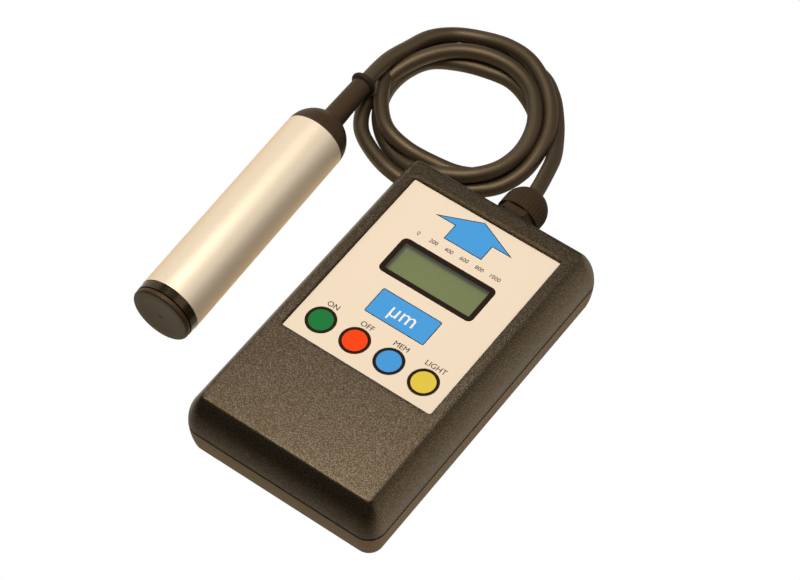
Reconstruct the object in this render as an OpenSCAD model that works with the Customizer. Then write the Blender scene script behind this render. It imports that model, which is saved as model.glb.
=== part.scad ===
// Coating thickness gauge: a hand-held meter with a tube probe on a coiled cable.
// The meter lies on its back, with the cable end towards +Y. Lengths are in millimetres.

/* [Case] */
// Width of the case at the seam
case_w = 90.5; // [84:0.5:100]
// Length of the case at the seam
case_l = 150; // [140:0.5:165]
// Height of the case
case_h = 31; // [29:0.5:34]
// Height of the seam between the two covers
seam_z = 13.5; // [12:0.5:15]
// Wall thickness of both covers
wall = 2.2; // [1.8:0.1:2.6]
// Radius of the bulge of the upper sides, seen in section
side_r = 28; // [26:0.5:36]
// Radius of the bulge of the lower sides, seen in section
base_side_r = 47; // [35:1:80]
// Plan radius of the corners at the seam
corner_r = 7.7; // [7:0.1:10]
// Rounding of the upper edge
top_edge_r = 1.2; // [0.6:0.1:1.8]
// Rounding of the lower edge
base_edge_r = 1.5; // [0.8:0.1:2.5]
// Height of the groove along the seam
seam_gap = 0.5; // [0.3:0.1:0.8]
// Depth of the groove along the seam
seam_depth = 0.8; // [0.4:0.1:1]
// Height of the locating lip inside the seam
lip_h = 2; // [1:0.5:3]
// Play between the lip and the upper cover
lip_clear = 0.15; // [0.1:0.05:0.3]

/* [Case screws] */
// Distance of the screws from the middle, across the case
screw_x = 35.5; // [33:0.5:36]
// Distance of the screws from the middle, along the case
screw_y = 65.5; // [62:0.5:66]
// Shank diameter of the case screws
screw_d = 2.9; // [2.5:0.1:3.5]
// Head diameter of the case screws
screw_head_d = 5.6; // [5:0.1:6.4]
// Head height of the case screws
screw_head_h = 2; // [1.5:0.1:2.4]
// Depth of the head recess in the back
screw_sink = 3.2; // [3:0.1:5]
// Length that the screw reaches into the upper cover
screw_grip = 8; // [6:0.5:10]
// Diameter of the screw posts
post_d = 8.4; // [7.6:0.1:9]

/* [Front film and display] */
// Width of the front film
film_w = 69; // [64:0.5:72]
// Length of the front film
film_l = 85.5; // [80:0.5:90]
// Place of the film's middle along the case
film_y = 18; // [14:0.5:20]
// Thickness of the film
film_t = 0.4; // [0.2:0.1:0.8]
// Depth of the recess that takes the film
recess_d = 1.4; // [1:0.1:1.8]
// Play between the film and its recess
recess_gap = 0.5; // [0.2:0.1:1]
// Corner radius of the recess
recess_r = 1.5; // [0.8:0.1:3]
// Thickness of the cover under the film
panel_t = 1.8; // [1.4:0.1:2.2]
// Width of the display window
window_w = 44; // [40:0.5:46]
// Length of the display window along the case
window_l = 18.6; // [17:0.2:20]
// Place of the window's middle across the case
window_x = 0.6; // [-3:0.1:3]
// Place of the window's middle along the case
window_y = 26.8; // [24:0.2:30]
// Corner radius of the window
window_r = 2.5; // [1:0.1:4]
// Width of the dark border on the window
window_border = 2.2; // [1.5:0.1:3]
// Play between the window and the film
window_clear = 0.1; // [0.05:0.05:0.2]

/* [Keys] */
// Diameter of a key
key_d = 12; // [10:0.2:13]
// Distance from key to key
key_pitch = 16; // [15.5:0.1:18]
// Distance of the key row from the near edge of the film
key_inset = 10.25; // [8:0.25:16]
// Travel of a key
key_travel = 0.35; // [0.2:0.05:0.5]
// Play round a key
key_clear = 0.25; // [0.2:0.05:0.3]
// Diameter of the flange that holds a key behind the cover
key_flange_d = 14; // [13.4:0.2:15]
// Thickness of that flange
key_flange_t = 1; // [0.6:0.1:1.4]
// Diameter of the stem that meets the switch
key_stem_d = 4.5; // [3.5:0.1:6]

/* [Boards] */
// Width of the display board
lcd_board_w = 58; // [54:0.5:60]
// Length of the display board along the case
lcd_board_l = 32; // [30:0.5:34]
// Width of the display's metal frame
lcd_frame_w = 52; // [50:0.5:54]
// Length of the display's metal frame along the case
lcd_frame_l = 25; // [24:0.5:27]
// Height of the display's metal frame
lcd_frame_h = 4.6; // [4:0.1:5.5]
// Thickness of the metal at the frame's rim
lcd_rim_t = 0.5; // [0.3:0.1:0.8]
// Thickness of the display glass
lcd_glass_t = 2.8; // [2:0.1:3.4]
// Thickness of the circuit boards
board_t = 1.6; // [1:0.1:2]
// Gap between the display board and the main board
header_h = 1.5; // [1:0.1:3]
// Width of the main board
board_w = 67; // [66:0.5:70]
// Place of the main board's near edge along the case
board_y0 = -27; // [-30:0.5:-26]
// Place of the main board's far edge along the case
board_y1 = 55; // [53:0.5:58]
// Distance of the board screws from the board's edges
board_inset = 3.5; // [3:0.1:5]
// Diameter of the board posts
board_post_d = 5; // [4.5:0.1:6]
// Shank diameter of the board screws
board_screw_d = 2.2; // [1.8:0.1:2.5]
// Side of a tact switch
switch_w = 6; // [5:0.1:7]
// Height of a tact switch's body
switch_h = 3.5; // [3:0.1:4]
// Height of a tact switch's plunger above its body
switch_plunger_h = 1; // [0.5:0.1:1.5]
// Side of the controller chip
chip_w = 10; // [7:0.5:14]
// Thickness of the controller chip
chip_t = 1.2; // [0.8:0.1:2]

/* [Battery] */
// Length of the battery
battery_w = 48.5; // [44:0.5:50]
// Width of the battery
battery_l = 26.5; // [24:0.5:27]
// Thickness of the battery
battery_t = 17.5; // [15:0.5:18]
// Thickness of the battery snap
snap_t = 4.5; // [3:0.5:6]
// Width of the battery door
door_w = 57; // [56:0.5:60]
// Length of the battery door along the case
door_l = 33; // [32:0.5:35]
// Place of the door's hinge edge along the case
door_hinge_y = -35; // [-37:0.5:-33]
// Corner radius of the battery door
door_r = 1.5; // [0.8:0.1:3]
// Play round the battery door
door_clear = 0.3; // [0.25:0.05:0.5]
// How far the door lies inside the back face
door_sink = 0.2; // [0.1:0.05:0.4]
// Width of each tongue of the door
tongue_w = 9; // [6:0.5:12]
// Reach of the tongues behind the back wall
tongue_l = 4; // [3:0.2:5]
// Thickness of the tongues
tongue_t = 1.5; // [1:0.1:2]

/* [Cable gland] */
// Place of the gland across the case
gland_x = 2; // [0:0.5:4]
// Outer diameter of the gland's thread
gland_thread_d = 15.2; // [14:0.1:15.4]
// Width across the flats of the gland's hexagons
gland_hex = 16.5; // [16:0.5:17.5]
// Thickness of the flange
gland_flange_t = 3; // [2:0.5:4]
// Least thickness of the seal on the wall
gland_seal_t = 1; // [0.6:0.1:2]
// Diameter of the domed nut
nut_d = 19; // [18.5:0.1:20]
// Length of the domed nut
nut_l = 13; // [12.5:0.5:15]
// Length of the dome on the nut
nut_dome_l = 8; // [7:0.5:8]
// Section radius of the dome
nut_dome_r = 9; // [8.8:0.1:9.2]
// Number of grip flutes on the nut
nut_flutes = 36; // [24:1:40]
// Diameter of the sealing bush
bush_d = 10.6; // [10:0.1:11]
// Length of the sealing bush
bush_l = 6; // [4:0.5:7]
// Thickness of the lock nut
locknut_t = 4; // [3:0.5:5]

/* [Probe] */
// Diameter of the probe tube
probe_d = 26.8; // [26.5:0.1:28]
// Wall thickness of the probe tube
probe_wall = 2; // [1.5:0.1:2.5]
// Length of the probe tube
tube_l = 97.5; // [80:0.5:110]
// Thickness of the end disc
face_t = 2.1; // [1.8:0.1:3]
// Diameter of the end disc
face_d = 26.2; // [25:0.1:26.4]
// Rounding of the end disc's edge
face_edge_r = 1.1; // [0.6:0.1:1.6]
// Depth of the dish in the end disc
face_dish = 0.4; // [0.2:0.1:0.6]
// Width of the groove behind the end disc
face_groove = 0.6; // [0.4:0.1:0.8]
// Depth of the groove behind the end disc
groove_depth = 1.2; // [0.6:0.1:2]
// Length of the nose ring that shows
nose_l = 3.7; // [3:0.1:5]
// Diameter of the nose ring
nose_d = 26.4; // [25.5:0.1:26.5]
// Depth that the nose ring and the rear cap reach into the tube
spigot_l = 8; // [6:0.5:12]
// Play of the spigots in the tube
spigot_clear = 0.05; // [0.03:0.01:0.1]
// Diameter of the ferrite core
core_d = 16; // [14:0.5:17]
// Length of the ferrite core
core_l = 9; // [8:0.5:11]
// Diameter of the core's middle post
core_post_d = 6; // [5:0.2:7]
// Outer diameter of the winding's slot in the core
core_slot_d = 12; // [11:0.2:12.6]
// Play of the core and of its winding
core_clear = 0.1; // [0.05:0.05:0.2]
// Diameter of the rear neck at the cap
neck_d = 9.8; // [9:0.1:11]
// Diameter of the rear neck at its end
neck_end_d = 8.5; // [8.2:0.1:9.4]
// Length of the rear neck behind the dome
neck_l = 22; // [16:0.5:26]
// Diameter of the bead at the end of the neck
bead_d = 11.2; // [10.4:0.1:11.6]
// Length of the bead
bead_l = 2.8; // [2:0.1:3.2]
// Place of the probe's tip across the case
probe_x = -82.5; // [-90:0.1:-79]
// Place of the probe's tip along the case
probe_y = -41; // [-50:0.2:-30]
// Turn of the probe on the table
probe_yaw = 2.3; // [0:0.1:4]

/* [Cable] */
// Diameter of the cable
cable_d = 6.5; // [5.5:0.1:6.6]
// Play of the cable in its bores
cable_clear = 0.3; // [0.2:0.05:0.4]
// Inner radius of the cable's coil
coil_r_in = 27; // [24:0.5:30]
// Outer radius of the cable's coil
coil_r_out = 43; // [40:0.5:43]
// Height of the cable's coil
coil_h = 7.2; // [6:0.1:7.2]

/* [Hidden] */
$fn = 64;

// Small overlap that keeps cuts clean
eps = 0.01;
// Size larger than any part, for cutting planes
far = 400;
// Corner centres of the case in plan
core_x = case_w / 2 - corner_r;
core_y = case_l / 2 - corner_r;
// Depth of the locating lip from the outer face
lip_off = wall * 0.55;
lip_t = wall - lip_off - 0.1;
lip_root = 1;
lip_reach = wall - lip_off + 1.5;
// Levels inside the case, from the top down
film_floor_z = case_h - recess_d;
film_top_z = film_floor_z + film_t;
panel_z = film_floor_z - panel_t;
ceiling_z = case_h - wall;
lcd_board_z = panel_z - lcd_frame_h - board_t;
board_top_z = lcd_board_z - header_h;
board_z = board_top_z - board_t;
// Keys, from left to right
key_count = 4;
key_y = film_y - film_l / 2 + key_inset;
key_hole_d = key_d + 2 * key_clear;
key_flange_gap = 0.15;
key_flange_z = panel_z - key_flange_gap - key_flange_t;
switch_top_z = board_top_z + switch_h + switch_plunger_h;
key_stem_gap = 0.15;
key_stem_z = switch_top_z + key_travel + key_stem_gap;
switch_plunger_d = 3.5;
// Clear opening under the window
opening_w = window_w - 2 * window_border + 0.6;
opening_l = window_l - 2 * window_border + 0.6;
lcd_view_w = opening_w + 1;
lcd_view_l = opening_l + 1.4;
lcd_glass_inset = 1;
header_w = 40;
header_l = 2.5;
// Board screws
board_screw_x = board_w / 2 - board_inset;
board_screw_y0 = board_y0 + board_inset;
board_screw_y1 = board_y1 - board_inset;
board_screw_head_d = 4.4;
board_screw_head_h = 1.6;
board_screw_grip = 5;
board_screw_clear = 0.1;
// Case screws
screw_clear = 0.25;
pilot_clear = 0.05;
// Battery bay
battery_gap = 0.3;
door_swing_room = 3.9;
door_t = wall - door_sink;
battery_z = wall + battery_gap;
battery_y1 = door_hinge_y - door_swing_room;
battery_x0 = -(battery_w + snap_t) / 2;
door_y0 = door_hinge_y - door_l;
tongue_z = wall + door_sink;
tongue_pitch = 30;
tongue_root = 1.6;
rib_t = 1.5;
rib_h = 8;
rib_gap = 1;
grip_r = 7;
grip_depth = 0.8;
// Gland, measured along its axis from the seam's outer face
gland_flange_y = case_l / 2 + gland_seal_t;
gland_front_y = gland_flange_y + gland_flange_t;
gland_collar_l = 9;
gland_collar_d = 13.6;
gland_thread_clear = 0.15;
gland_seal_d = gland_hex + 1.4;
gland_reach = 1.5;
gland_pad_w = gland_hex + 8;
gland_pad_h = gland_hex + 5;
gland_pad_y = case_l / 2 - wall - 2.3;
locknut_gap = 0.1;
locknut_y = gland_pad_y - locknut_gap - locknut_t;
nut_gap = 0.3;
nut_wall_gap = 0.2;
nut_y = gland_front_y + nut_gap;
flute_r = 0.5;
flute_depth = 0.2;
flute_l = nut_l - nut_dome_l + 1.5;
terminal_w = 10;
terminal_l = 8;
terminal_h = board_z - seam_z + cable_d / 2 + 1;
terminal_y1 = board_y1 - 2;
// Probe, measured along its axis from the tip
nose_z = face_t + face_groove;
tube_z = nose_z + nose_l;
cap_z = tube_z + tube_l;
dome_l = sqrt(pow(probe_d / 2, 2) - pow(neck_d / 2, 2));
neck_z = cap_z + dome_l;
bead_z = neck_z + neck_l;
cap_hollow_d = probe_d / 2;
cap_hollow_l = 6;
dish_r = 120;
slot_l = core_l * 2 / 3;
bore_d = cable_d + 2 * cable_clear;
// Coil on the table
coil_at = [-52.5, 117, 0];
// Route of the cable from the meter to the coil
lead_route = [
    [gland_x, terminal_y1, seam_z], [gland_x, 66, seam_z], [gland_x, 79, seam_z], [gland_x, 94, seam_z],
    [0.2, 102, 12.3], [-3.6, 110, 9.8], [-7.8, 118, 7], [-11.8, 126, 4.8], [-16, 133, 3.6],
    [-21, 140, 3.3]
];
// Route of the cable from the coil to the probe, up to where it enters the neck
tail_route = [
    [-75.7, 147, 5], [-80.5, 140.5, 8], [-84.2, 133, 10], [-87, 122.5, 12], [-88.4, 112.5, 13.2]
];
tail_straight = 5;
tail_depth = 14;

function unit(v) = v / norm(v);
function tangent(path, i) = unit(path[min(i + 1, len(path) - 1)] - path[max(i - 1, 0)]);
function ring(path, i, r, sides) =
    let (t = tangent(path, i), side = unit(cross(t, [0, 0, 1])), up = cross(side, t))
    [for (k = [0 : sides - 1]) path[i] + r * (cos(360 * k / sides) * side + sin(360 * k / sides) * up)];

// Tube swept along a list of points
module swept_tube(path, d, sides) {
    last = len(path) - 1;
    points = [for (i = [0 : last]) each ring(path, i, d / 2, sides)];
    walls = [
        for (i = [0 : last - 1], k = [0 : sides - 1])
            let (n = (k + 1) % sides, a = i * sides, b = a + sides)
                [a + k, b + k, b + n, a + n]
    ];
    start = [for (k = [0 : sides - 1]) k];
    end = [for (k = [sides - 1 : -1 : 0]) last * sides + k];
    polyhedron(points, concat([start], walls, [end]), convexity = 8);
}

// Plan outline with round corners
module round_rect(w, l, r) {
    square([w - 2 * r, l], center = true);
    square([w, l - 2 * r], center = true);
    for (sx = [-1, 1], sy = [-1, 1])
        translate([sx * (w / 2 - r), sy * (l / 2 - r)]) circle(r);
}

module round_plate(w, l, t, r) {
    linear_extrude(t) round_rect(w, l, r);
}

// Everything on the inner side of a line, whose outward direction is the angle
module half_plane(at, angle) {
    translate(at) rotate(angle) translate([-far, -far / 2]) square([far, far]);
}

// Plan of the case at the seam, set in by off
module case_outline(off) {
    round_rect(case_w - 2 * off, case_l - 2 * off, corner_r - off);
}

// Bulged edge section: distance out from the corner centre, height from the seam
module bulge_section(off, bulge_r, h) {
    out = corner_r - off;
    r = bulge_r - off;
    intersection() {
        translate([out - r, 0]) circle(r, $fn = 180);
        square([out, h]);
    }
}

// The same section with its far edge eased by flats
module eased_section(bulge_r, h, edge_r) {
    rise = h - edge_r;
    run = sqrt(pow(bulge_r - edge_r, 2) - pow(rise, 2));
    middle = [corner_r - bulge_r + run, rise];
    from = atan2(rise, run);
    intersection() {
        bulge_section(0, bulge_r, h);
        intersection_for (k = [1 : 3]) {
            a = from + (90 - from) * k / 4;
            half_plane(middle + edge_r * [cos(a), sin(a)], a);
        }
    }
}

// Solid with the given edge section run round the plan of the case
module run_round(h) {
    translate([-core_x, -core_y, 0]) cube([2 * core_x, 2 * core_y, h]);
    for (turn = [0, 180]) {
        rotate(turn) translate([core_x, 0, 0]) rotate([90, 0, 0])
            linear_extrude(2 * core_y, center = true) children();
        rotate(turn + 90) translate([core_y, 0, 0]) rotate([90, 0, 0])
            linear_extrude(2 * core_x, center = true) children();
    }
    for (corner = [[1, 1, 0], [-1, 1, 90], [-1, -1, 180], [1, -1, 270]])
        translate([corner[0] * core_x, corner[1] * core_y, 0]) rotate(corner[2])
            rotate_extrude(angle = 90) children();
}

// Upper half of the case, from the seam up, set in by off
module upper_form(off, h) {
    translate([0, 0, seam_z]) run_round(h) bulge_section(off, side_r, h);
}

module upper_outside() {
    h = case_h - seam_z;
    translate([0, 0, seam_z]) run_round(h) eased_section(side_r, h, top_edge_r);
}

// Lower half of the case, from the seam down, set in by off
module lower_form(off, h) {
    translate([0, 0, seam_z]) mirror([0, 0, 1]) run_round(h) bulge_section(off, base_side_r, h);
}

module lower_outside() {
    translate([0, 0, seam_z]) mirror([0, 0, 1]) run_round(seam_z)
        eased_section(base_side_r, seam_z, base_edge_r);
}

module at_case_screws() {
    for (sx = [-1, 1], sy = [-1, 1]) translate([sx * screw_x, sy * screw_y, 0]) children();
}

module at_board_screws() {
    for (sx = [-1, 1], y = [board_screw_y0, board_screw_y1])
        translate([sx * board_screw_x, y, 0]) children();
}

module at_key(i) {
    translate([(i - (key_count - 1) / 2) * key_pitch, key_y, 0]) children();
}

module at_keys() {
    for (i = [0 : key_count - 1]) at_key(i) children();
}

// Along the gland's axis, from a place along the case
module along_gland(y) {
    translate([gland_x, y, seam_z]) rotate([-90, 0, 0]) children();
}

// Along the probe's axis, from its tip
module along_probe() {
    translate([probe_x, probe_y, probe_d / 2]) rotate([0, 0, probe_yaw]) rotate([-90, 0, 0]) children();
}

module hexagon(flats, t) {
    cylinder(d = flats / cos(30), h = t, $fn = 6);
}

// Flat pad behind the wall, where the lock nut seats
module gland_pad() {
    translate([gland_x - gland_pad_w / 2, gland_pad_y, seam_z - gland_pad_h / 2])
        cube([gland_pad_w, case_l / 2 - wall / 2 - gland_pad_y, gland_pad_h]);
}

module gland_hole() {
    along_gland(core_y) cylinder(d = gland_thread_d + 2 * gland_thread_clear, h = corner_r + eps);
}

module top_cover() color("#33291f") difference() {
    union() {
        difference() {
            upper_outside();
            upper_form(wall, ceiling_z - seam_z);
        }
        intersection() {
            gland_pad();
            upper_form(wall / 2, case_h - seam_z - wall);
        }
        translate([0, film_y, panel_z])
            round_plate(film_w + 2 * (recess_gap + panel_t), film_l + 2 * (recess_gap + panel_t),
                ceiling_z - panel_z + eps, recess_r + panel_t);
        at_case_screws() translate([0, 0, seam_z]) cylinder(d = post_d, h = ceiling_z - seam_z + eps);
        at_board_screws() translate([0, 0, board_top_z])
            cylinder(d = board_post_d, h = panel_z - board_top_z + eps);
    }
    translate([0, film_y, film_floor_z])
        round_plate(film_w + 2 * recess_gap, film_l + 2 * recess_gap, recess_d + eps, recess_r);
    translate([window_x - opening_w / 2, window_y - opening_l / 2, panel_z - eps])
        cube([opening_w, opening_l, panel_t + 2 * eps]);
    at_keys() translate([0, 0, panel_z - eps]) cylinder(d = key_hole_d, h = panel_t + 2 * eps);
    translate([0, 0, seam_z - eps]) linear_extrude(lip_h + lip_clear + eps) difference() {
        case_outline(lip_off - lip_clear);
        case_outline(lip_off + lip_reach);
    }
    gland_hole();
    at_case_screws() translate([0, 0, seam_z - eps])
        cylinder(d = screw_d + 2 * pilot_clear, h = screw_grip + 1);
    at_board_screws() translate([0, 0, board_top_z - eps])
        cylinder(d = board_screw_d + 2 * board_screw_clear, h = board_screw_grip + 0.5);
}

module door_outline(grow) {
    translate([0, (door_y0 + door_hinge_y) / 2])
        round_rect(door_w + 2 * grow, door_l + 2 * grow, door_r + grow);
}

module bottom_cover() color("#33291f") difference() {
    union() {
        difference() {
            lower_outside();
            lower_form(wall, seam_z - wall);
        }
        intersection() {
            gland_pad();
            lower_form(wall / 2, seam_z - wall / 2);
        }
        translate([0, 0, seam_z - lip_root]) linear_extrude(lip_h + lip_root) difference() {
            case_outline(lip_off);
            case_outline(lip_off + lip_t);
        }
        at_case_screws() translate([0, 0, wall - eps]) cylinder(d = post_d, h = seam_z - wall + eps);
        for (side = [-1, 1])
            translate([side * (door_w / 2 + rib_gap + rib_t / 2) - rib_t / 2, door_y0, wall - eps])
                cube([rib_t, door_l, rib_h]);
    }
    translate([0, 0, seam_z - seam_gap]) linear_extrude(seam_gap + eps) difference() {
        case_outline(-1);
        case_outline(seam_depth);
    }
    translate([0, 0, -eps]) linear_extrude(wall + 2 * eps) door_outline(door_clear);
    gland_hole();
    at_case_screws() {
        translate([0, 0, -eps]) cylinder(d = screw_head_d + 2 * screw_clear, h = screw_sink);
        cylinder(d = screw_d + 2 * screw_clear, h = seam_z + eps);
    }
}

module case_screws() color("#8d8d90") at_case_screws() difference() {
    union() {
        translate([0, 0, screw_sink - screw_head_h]) cylinder(d = screw_head_d, h = screw_head_h);
        translate([0, 0, screw_sink - eps]) cylinder(d = screw_d, h = seam_z + screw_grip - screw_sink);
    }
    for (turn = [0, 90])
        translate([0, 0, screw_sink - screw_head_h + 0.4]) rotate(turn) cube([3.2, 0.7, 1.6], center = true);
}

module front_film() color("#efdcc4") difference() {
    translate([0, film_y, film_floor_z]) linear_extrude(film_t) square([film_w, film_l], center = true);
    translate([window_x, window_y, film_floor_z - eps])
        round_plate(window_w, window_l, film_t + 2 * eps, window_r);
    at_keys() translate([0, 0, film_floor_z - eps]) cylinder(d = key_hole_d, h = film_t + 2 * eps);
}

module display_window() color("#2a2018") translate([window_x, window_y, film_floor_z])
    round_plate(window_w - 2 * window_clear, window_l - 2 * window_clear, film_t, window_r - window_clear);

// Film key with the flange and stem behind it
module key(i) {
    at_key(i) {
        translate([0, 0, key_flange_z]) cylinder(d = key_d, h = film_top_z - key_flange_z);
        translate([0, 0, key_flange_z]) cylinder(d = key_flange_d, h = key_flange_t);
        translate([0, 0, key_stem_z]) cylinder(d = key_stem_d, h = key_flange_z - key_stem_z + eps);
    }
}

module on_key() color("#237d41") key(0);

module off_key() color("#fa4b19") key(1);

module memory_key() color("#4a9fe1") key(2);

module backlight_key() color("#e4c84b") key(3);

module lcd_frame() color("#1c1a18") difference() {
    translate([window_x - lcd_frame_w / 2, window_y - lcd_frame_l / 2, panel_z - lcd_frame_h])
        cube([lcd_frame_w, lcd_frame_l, lcd_frame_h]);
    translate([window_x - lcd_frame_w / 2 + lcd_rim_t, window_y - lcd_frame_l / 2 + lcd_rim_t,
        panel_z - lcd_frame_h - eps])
        cube([lcd_frame_w - 2 * lcd_rim_t, lcd_frame_l - 2 * lcd_rim_t, lcd_frame_h - lcd_rim_t + eps]);
    translate([window_x - lcd_view_w / 2, window_y - lcd_view_l / 2, panel_z - lcd_rim_t - eps])
        cube([lcd_view_w, lcd_view_l, lcd_rim_t + 2 * eps]);
}

module lcd_glass() color("#7d9155")
    translate([window_x - lcd_frame_w / 2 + lcd_glass_inset, window_y - lcd_frame_l / 2 + lcd_glass_inset,
        panel_z - lcd_rim_t - lcd_glass_t])
        cube([lcd_frame_w - 2 * lcd_glass_inset, lcd_frame_l - 2 * lcd_glass_inset, lcd_glass_t]);

module lcd_board() color("#1d6b3a")
    translate([window_x - lcd_board_w / 2, window_y - lcd_board_l / 2, lcd_board_z])
        cube([lcd_board_w, lcd_board_l, board_t]);

module lcd_header() color("#151515")
    translate([window_x - header_w / 2, window_y + lcd_board_l / 2 - header_l - 1, board_top_z])
        cube([header_w, header_l, header_h]);

module main_board() color("#1d6b3a") difference() {
    translate([-board_w / 2, board_y0, board_z]) cube([board_w, board_y1 - board_y0, board_t]);
    at_board_screws() translate([0, 0, board_z - eps])
        cylinder(d = board_screw_d + 2 * board_screw_clear, h = board_t + 2 * eps);
}

module tact_switches() color("#202020") at_keys() {
    translate([-switch_w / 2, -switch_w / 2, board_top_z]) cube([switch_w, switch_w, switch_h]);
    translate([0, 0, board_top_z + switch_h - eps])
        cylinder(d = switch_plunger_d, h = switch_plunger_h + eps);
}

module controller_chip() color("#151515")
    translate([-chip_w / 2, window_y - chip_w / 2, board_z - chip_t]) cube([chip_w, chip_w, chip_t]);

module board_screws() color("#b8b8b8") at_board_screws() {
    translate([0, 0, board_z - board_screw_head_h]) cylinder(d = board_screw_head_d, h = board_screw_head_h);
    translate([0, 0, board_z - eps]) cylinder(d = board_screw_d, h = board_t + board_screw_grip);
}

module probe_terminal() color("#2f7d4f")
    translate([gland_x - terminal_w / 2, terminal_y1 - terminal_l, board_z - terminal_h])
        cube([terminal_w, terminal_l, terminal_h]);

module battery() color("#3a3a3c")
    translate([battery_x0, battery_y1 - battery_l, battery_z]) cube([battery_w, battery_l, battery_t]);

module battery_snap() color("#161616")
    translate([battery_x0 + battery_w, battery_y1 - battery_l, battery_z])
        cube([snap_t, battery_l, battery_t]);

module battery_door() color("#33291f") {
    difference() {
        translate([0, 0, door_sink]) linear_extrude(door_t) door_outline(0);
        translate([0, door_y0 - grip_r / 2, door_sink - eps]) cylinder(r = grip_r, h = grip_depth);
    }
    for (side = [-1, 1])
        translate([side * tongue_pitch / 2 - tongue_w / 2, 0, 0]) {
            translate([0, door_hinge_y - tongue_root, wall - eps])
                cube([tongue_w, tongue_root, tongue_z + tongue_t - wall + eps]);
            translate([0, door_hinge_y - eps, tongue_z]) cube([tongue_w, tongue_l + eps, tongue_t]);
        }
}

module gland_seal() color("#1b1b1b") difference() {
    along_gland(core_y) cylinder(d = gland_seal_d, h = gland_flange_y - core_y);
    upper_form(0, case_h - seam_z);
    lower_form(0, seam_z);
    gland_hole();
    along_gland(gland_flange_y - wall) cylinder(d = gland_thread_d + 2 * gland_thread_clear, h = wall + eps);
}

module gland_body() color("#2a231c") difference() {
    union() {
        along_gland(gland_flange_y) hexagon(gland_hex, gland_flange_t);
        along_gland(locknut_y - gland_reach)
            cylinder(d = gland_thread_d, h = gland_flange_y - locknut_y + gland_reach + eps);
        along_gland(gland_front_y - eps) cylinder(d = gland_collar_d, h = gland_collar_l + eps);
    }
    along_gland(locknut_y - gland_reach - eps) cylinder(d = bore_d, h = far);
    along_gland(gland_front_y + gland_collar_l - bush_l)
        cylinder(d = bush_d + 2 * pilot_clear, h = bush_l + eps);
}

module gland_bush() color("#101010") along_gland(gland_front_y + gland_collar_l - bush_l) difference() {
    cylinder(d = bush_d, h = bush_l);
    translate([0, 0, -eps]) cylinder(d = bore_d, h = bush_l + 2 * eps);
}

module gland_nut() color("#2a231c") along_gland(nut_y) difference() {
    rotate_extrude() difference() {
        intersection() {
            square([nut_d / 2, nut_l]);
            union() {
                square([nut_d / 2, nut_l - nut_dome_l]);
                translate([nut_d / 2 - nut_dome_r, nut_l - nut_dome_l]) circle(nut_dome_r);
            }
        }
        square([bore_d / 2, nut_l + eps]);
        square([gland_collar_d / 2 + nut_wall_gap, gland_collar_l - nut_gap + nut_wall_gap]);
    }
    for (k = [0 : nut_flutes - 1])
        rotate(360 * k / nut_flutes) translate([nut_d / 2 + flute_r - flute_depth, 0, -eps])
            cylinder(r = flute_r, h = flute_l, $fn = 24);
}

module gland_locknut() color("#2a231c") along_gland(locknut_y) difference() {
    hexagon(gland_hex + 1.5, locknut_t);
    translate([0, 0, -eps]) cylinder(d = gland_thread_d + 2 * pilot_clear, h = locknut_t + 2 * eps);
}

module cable_lead() color("#2b2620") swept_tube(lead_route, cable_d, 10);

module cable_coil() color("#2b2620") translate(coil_at) rotate_extrude() {
    translate([coil_r_in + coil_h / 2, coil_h / 2]) circle(coil_h / 2);
    translate([coil_r_in + coil_h / 2, 0]) square([coil_r_out - coil_r_in - coil_h, coil_h]);
    translate([coil_r_out - coil_h / 2, coil_h / 2]) circle(coil_h / 2);
}

// The cable's end runs straight into the neck, along the probe's axis
module cable_tail() color("#2b2620") {
    axis = [-sin(probe_yaw), cos(probe_yaw), 0];
    tip = [probe_x, probe_y, probe_d / 2];
    straight = [for (z = [tail_straight + bead_l, bead_l, -tail_depth]) tip + axis * (bead_z + z)];
    swept_tube(concat(tail_route, straight), cable_d, 10);
}

module probe_tube() color("#c9beb0") along_probe() translate([0, 0, tube_z]) difference() {
    cylinder(d = probe_d, h = tube_l, $fn = 96);
    translate([0, 0, -eps]) cylinder(d = probe_d - 2 * probe_wall, h = tube_l + 2 * eps, $fn = 96);
}

module spigot(z) {
    translate([0, 0, z]) cylinder(d = probe_d - 2 * probe_wall - 2 * spigot_clear, h = spigot_l);
}

module nose_ring() color("#1d1a17") along_probe() difference() {
    union() {
        translate([0, 0, nose_z]) cylinder(d = nose_d, h = nose_l);
        spigot(tube_z - eps);
    }
    translate([0, 0, nose_z - eps]) cylinder(d = core_d + 2 * core_clear, h = nose_l + spigot_l + 2 * eps);
}

module end_disc() color("#3b2f26") along_probe() difference() {
    union() {
        rotate_extrude() {
            square([face_d / 2 - face_edge_r, face_t]);
            translate([0, face_edge_r]) square([face_d / 2, face_t - face_edge_r]);
            translate([face_d / 2 - face_edge_r, face_edge_r]) circle(face_edge_r);
        }
        translate([0, 0, face_t - eps]) cylinder(d = face_d - 2 * groove_depth, h = face_groove + eps);
    }
    translate([0, 0, face_dish - dish_r]) sphere(dish_r, $fn = 200);
}

module ferrite_core() color("#4a4745") along_probe() translate([0, 0, nose_z]) difference() {
    cylinder(d = core_d, h = core_l);
    translate([0, 0, -eps]) difference() {
        cylinder(d = core_slot_d, h = slot_l);
        cylinder(d = core_post_d, h = slot_l);
    }
}

module sensing_coil() color("#b5652b") along_probe() translate([0, 0, nose_z]) difference() {
    cylinder(d = core_slot_d - 2 * core_clear, h = slot_l - core_clear);
    translate([0, 0, -eps]) cylinder(d = core_post_d + 2 * core_clear, h = slot_l);
}

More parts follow.
